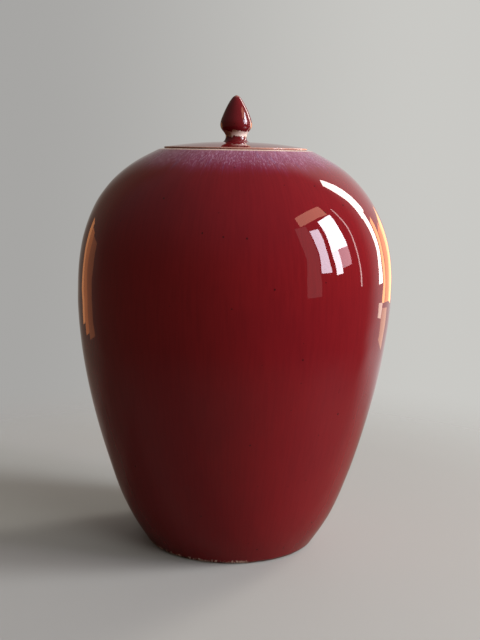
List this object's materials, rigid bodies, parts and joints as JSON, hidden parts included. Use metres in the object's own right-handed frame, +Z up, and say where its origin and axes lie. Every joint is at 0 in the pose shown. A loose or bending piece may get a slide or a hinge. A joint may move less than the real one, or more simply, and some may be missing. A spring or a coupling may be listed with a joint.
{
  "type": "ginger jar",
  "caption": "Tall round-shouldered ginger jar in deep red glaze, with a low domed lift-off lid, a lotus-bud knob and a bare foot ring.",
  "frame": {"origin": "centre of the foot, on the surface the jar stands on", "axes": "+Z up along the axis of the jar; the jar is turned, so X and Y are free"},
  "size_m": [0.1664, 0.1664, 0.2383],
  "materials": {
    "oxblood_glaze": "mirror-gloss deep red glaze, purple and lavender streaks near the lip",
    "bare_body": "bare fired clay, matt"
  },
  "bodies": {
    "jar": {"jar_body": "oxblood_glaze", "foot_ring": "bare_body"},
    "lid": {"lid_plate": "oxblood_glaze", "lid_locating_ring": "bare_body", "lid_knob": "oxblood_glaze"}
  },
  "joints": [
    {"name": "lid_lift", "type": "slide", "parent": "jar", "child": "lid", "axis": [0, 0, 1], "range_m": [0, 0.06]}
  ]
}
